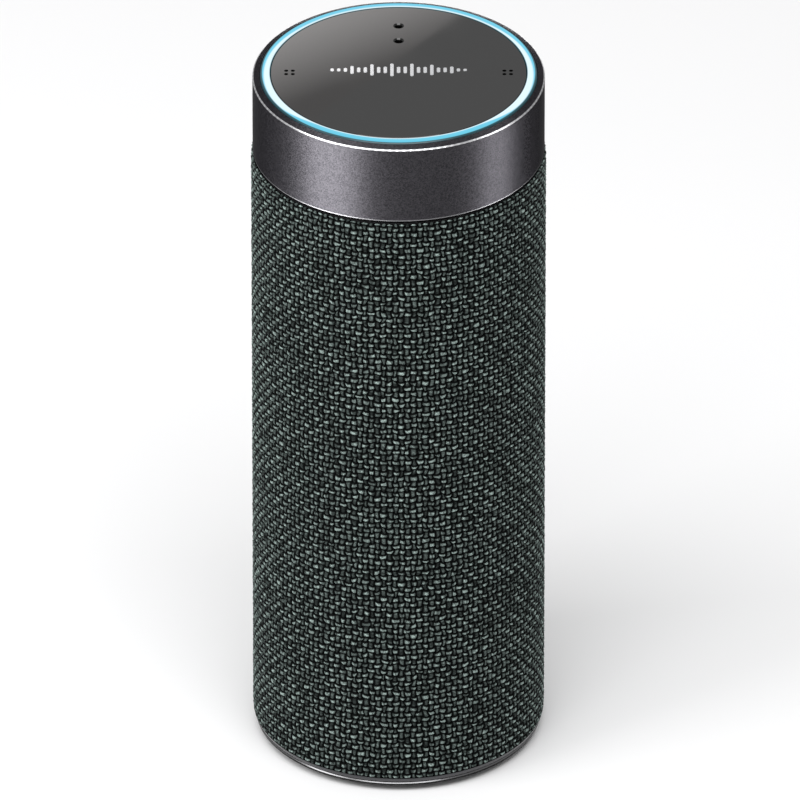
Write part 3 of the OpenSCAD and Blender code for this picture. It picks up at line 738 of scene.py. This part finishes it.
def make_sleeve():
    """Every yarn of the sleeve, as one open sheet wrapped round the grille tube."""
    random = np.random.default_rng(7)
    u = (np.arange(YARNS_AROUND)[:, None] + SAMPLES).ravel()
    v = np.append((np.arange(YARN_ROWS)[:, None] + SAMPLES).ravel(), YARN_ROWS)
    place, normal = along(sleeve_profile(), v / YARN_ROWS)
    U, V = np.meshgrid(u, v)
    crossings = (YARN_ROWS + 1, YARNS_AROUND)

    # Yarns of uneven thickness
    warp = yarn_height(U, V, 1) + SLUB * soft_noise(U.shape, (53, YARNS_AROUND), random)
    weft = yarn_height(V, U, -1) + SLUB * soft_noise(U.shape, (YARN_ROWS, 60), random)
    height = np.clip(np.maximum(warp, weft), 0, 1.05)

    # Yarns that wander to the sides, and up and down except at the two ends
    sway = 0.16 * soft_noise(U.shape, (40, 90), random)
    sway += 0.22 * soft_noise(U.shape, crossings, random)
    shift = 0.2 * MM * soft_noise(U.shape, (60, 70), random)
    shift += 0.4 * MM * soft_noise(U.shape, crossings, random)
    angle = 2 * np.pi * (U + sway) / YARNS_AROUND - np.pi / 2
    inside = np.minimum(1, np.minimum(V, YARN_ROWS - V) / 3)
    angle, z, x, gap = snap_to_cut(angle, place[:, 1][:, None] + shift * inside)

    roll = np.clip(1 - np.maximum(gap, 0) / ROLL_WIDTH, 0, 1) ** 2 * ROLL_DEPTH
    seam = SEAM_DEPTH * np.exp(-(x / SEAM_WIDTH) ** 2) * (z > panel_high.z)
    hem = np.minimum(1, V / 0.5)
    lift = (height - 1) * SLEEVE_RELIEF * hem - roll - seam
    r = place[:, 0][:, None] + normal[:, 0][:, None] * lift
    z = z + normal[:, 1][:, None] * lift
    co = np.stack([r * np.cos(angle), r * np.sin(angle), z], -1).reshape(-1, 3)

    faces, uv = wrapped_faces(U, V)
    kept = (gap.ravel()[faces] >= 0).all(1)
    used, faces = np.unique(faces[kept], return_inverse=True)
    sleeve = mesh_from("woven_sleeve", co[used], faces.reshape(-1, 4), uv[kept])
    dress(sleeve, "woven_fabric")
    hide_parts("fabric_sleeve")
    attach(sleeve, "housing")


# ---- Printed and raised marks ----

MARK_SINK = 0.02 * MM


def capsule(centre, width, height, steps=8):
    """Outline of an upright bar with round ends."""
    r = min(width, height) / 2
    points = []
    for turn, (side_x, side_y) in enumerate([(1, 1), (-1, 1), (-1, -1), (1, -1)]):
        cx = centre[0] + side_x * (width / 2 - r)
        cy = centre[1] + side_y * (height / 2 - r)
        for i in range(steps + 1):
            a = math.radians(90 * (turn + i / steps))
            points.append((cx + r * math.cos(a), cy + r * math.sin(a)))
    return points


def raised(name, outlines, thickness, lay, inset=0.12):
    """One thin raised mark from flat outlines. lay turns (x, y, height) into a place on the speaker."""
    bm = bmesh.new()
    for outline in outlines:
        middle = np.mean(outline, axis=0)
        base = [bm.verts.new(lay(px, py, -MARK_SINK)) for px, py in outline]
        wall = [bm.verts.new(lay(px, py, thickness * 0.7)) for px, py in outline]
        shrunk = [(px + (middle[0] - px) * inset, py + (middle[1] - py) * inset) for px, py in outline]
        crown = [bm.verts.new(lay(px, py, thickness)) for px, py in shrunk]
        count = len(outline)
        for low, high in ((base, wall), (wall, crown)):
            for i in range(count):
                j = (i + 1) % count
                bm.faces.new((low[i], low[j], high[j], high[i]))
        bm.faces.new(crown)
        bm.faces.new(base[::-1])
    bmesh.ops.remove_doubles(bm, verts=bm.verts, dist=1e-7)
    bmesh.ops.recalc_face_normals(bm, faces=bm.faces)
    mesh = bpy.data.meshes.new(name)
    bm.to_mesh(mesh)
    bm.free()
    piece = bpy.data.objects.new(name, mesh)
    bpy.context.scene.collection.objects.link(piece)
    return piece


BAR_COUNT = 21
BAR_PITCH = 2.0 * MM
BAR_WIDTH = 1.05 * MM
BAR_TALLEST = 7.6 * MM
BAR_SHORTEST = 1.1 * MM
BAR_THICKNESS = 0.06 * MM
BARS_Y = 1.4 * MM


def make_level_bars():
    """A row of silver sound-level bars across the middle of the top plate."""
    outlines = []
    for i in range(BAR_COUNT):
        t = (i - (BAR_COUNT - 1) / 2) / (BAR_COUNT / 2)
        swell = math.cos(t * math.pi / 2) ** 0.8 * (0.62 + 0.38 * math.cos(i * 2.1))
        height = BAR_SHORTEST + (BAR_TALLEST - BAR_SHORTEST) * max(0, swell)
        outlines.append(capsule((t * BAR_COUNT / 2 * BAR_PITCH, BARS_Y), BAR_WIDTH, height))
    top = plate_high.z
    bars = raised("level_bars", outlines, BAR_THICKNESS, lambda x, y, h: (x, y, top + h))
    dress_mark(bars)
    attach(bars, "housing")


ICON_LINE = 0.42 * MM
ICON_SIZE = 2.2 * MM
ICON_LIFT = 0.1 * MM


def disc(radius, steps=28):
    return [(radius * math.cos(2 * math.pi * i / steps), radius * math.sin(2 * math.pi * i / steps))
            for i in range(steps)]


def cross(size, line):
    """Outline of a plus sign."""
    a, b = size / 2, line / 2
    quarter = [(a, -b), (a, b), (b, b)]
    quarter_turns = ((1, 0), (0, 1), (-1, 0), (0, -1))
    return [(x * c - y * s, x * s + y * c) for c, s in quarter_turns for x, y in quarter]


def bow(radius, line, start, end, steps=24):
    """Outline of an open arc of a given line width, between two angles in degrees."""
    turns = [math.radians(start + (end - start) * i / steps) for i in range(steps + 1)]
    outer = [((radius + line / 2) * math.cos(a), (radius + line / 2) * math.sin(a)) for a in turns]
    inner = [((radius - line / 2) * math.cos(a), (radius - line / 2) * math.sin(a)) for a in turns]
    return outer + inner[::-1]


def shifted(outline, x, y):
    return [(px + x, py + y) for px, py in outline]


def rear_icon(name, node, outlines, body, inset=0.0):
    """A thin silver icon on the outer face of a key or button at the rear."""
    low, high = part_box(node)
    middle = (low + high) / 2
    joints = frame["record"]["behaviour"]["joints"]
    inwards = next(joint["axis"] for joint in joints if joint["child"] == body)
    angle = math.atan2(-inwards[1], -inwards[0])
    vertices = frame["nodes"][node].data.vertices
    face = max(math.hypot(vertex.co.x, vertex.co.y) for vertex in vertices)

    def lay(x, y, height):
        turn = angle + x / face
        return (face + height) * math.cos(turn), (face + height) * math.sin(turn), middle.z + y

    icon = raised(name, outlines, ICON_LIFT, lay, inset)
    dress_mark(icon)
    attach(icon, body)


def make_icons():
    """Generic signs on the four keys: a dot, a microphone, a minus and a plus."""
    rear_icon("action_icon", "action_key", [disc(0.35 * ICON_SIZE)], "action_key", 0.2)
    microphone = [
        shifted(capsule((0, 0), 2.2 * ICON_LINE, 1.15 * MM), 0, 0.35 * MM),
        shifted(bow(0.78 * MM, 0.6 * ICON_LINE, 195, 345), 0, 0.35 * MM),
        capsule((0, -0.75 * MM), 0.6 * ICON_LINE, 0.5 * MM),
        capsule((0, -1.0 * MM), 1.1 * MM, 0.6 * ICON_LINE),
    ]
    rear_icon("mute_icon", "mute_key", microphone, "mute_key")
    minus = [capsule((0, 0), ICON_SIZE, ICON_LINE)]
    rear_icon("volume_down_icon", "volume_down_key", minus, "volume_down_key")
    rear_icon("volume_up_icon", "volume_up_key", [cross(ICON_SIZE, ICON_LINE)], "volume_up_key")


def make_power_icon():
    """The usual broken ring and bar on the flat face of the power button."""
    low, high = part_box("power_button")
    middle = (low + high) / 2
    ring = bow(1.35 * MM, ICON_LINE, 125, 415)
    bar = shifted(capsule((0, 0), ICON_LINE, 1.5 * MM), 0, 1.0 * MM)
    icon = raised("power_icon", [ring, bar], ICON_LIFT,
                  lambda x, y, height: (middle.x - x, high.y + height, middle.z + y), 0.0)
    dress_mark(icon)
    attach(icon, "power_button")


def dress(piece, slot):
    piece.data.materials.append(MATERIALS[slot])


def dress_mark(piece):
    """Marks get the silver_mark material, which is brighter than the trim itself."""
    piece.data.materials.append(MATERIALS["silver_mark"])


def dress_frame():
    """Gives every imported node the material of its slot."""
    for name, piece in frame["nodes"].items():
        piece.material_slots[0].material = MATERIALS[SLOT_OF_NODE[name]]


MAKERS = (
    foot_rubber, black_plastic, silver_trim, silver_mark, screw_steel, inner_plastic, cell_wrap,
    circuit_board, chip_black, shield_steel, key_plastic, light_pipe, woven_fabric, gasket_rubber,
    radiator_mass, wire_jacket, ribbon_film, light_chip, gloss_plate, light_diffuser, collar_paint,
    basket_steel, magnet_ferrite, coil_copper, cone_paper, spider_cloth,
)
MATERIALS = {maker.__name__: maker() for maker in MAKERS}

bpy.context.scene.view_settings.view_transform = "Standard"
make_camera()
make_floor()
make_reflector_card()
dress_frame()
make_sleeve()
make_level_bars()
make_icons()
make_power_icon()
make_lights()
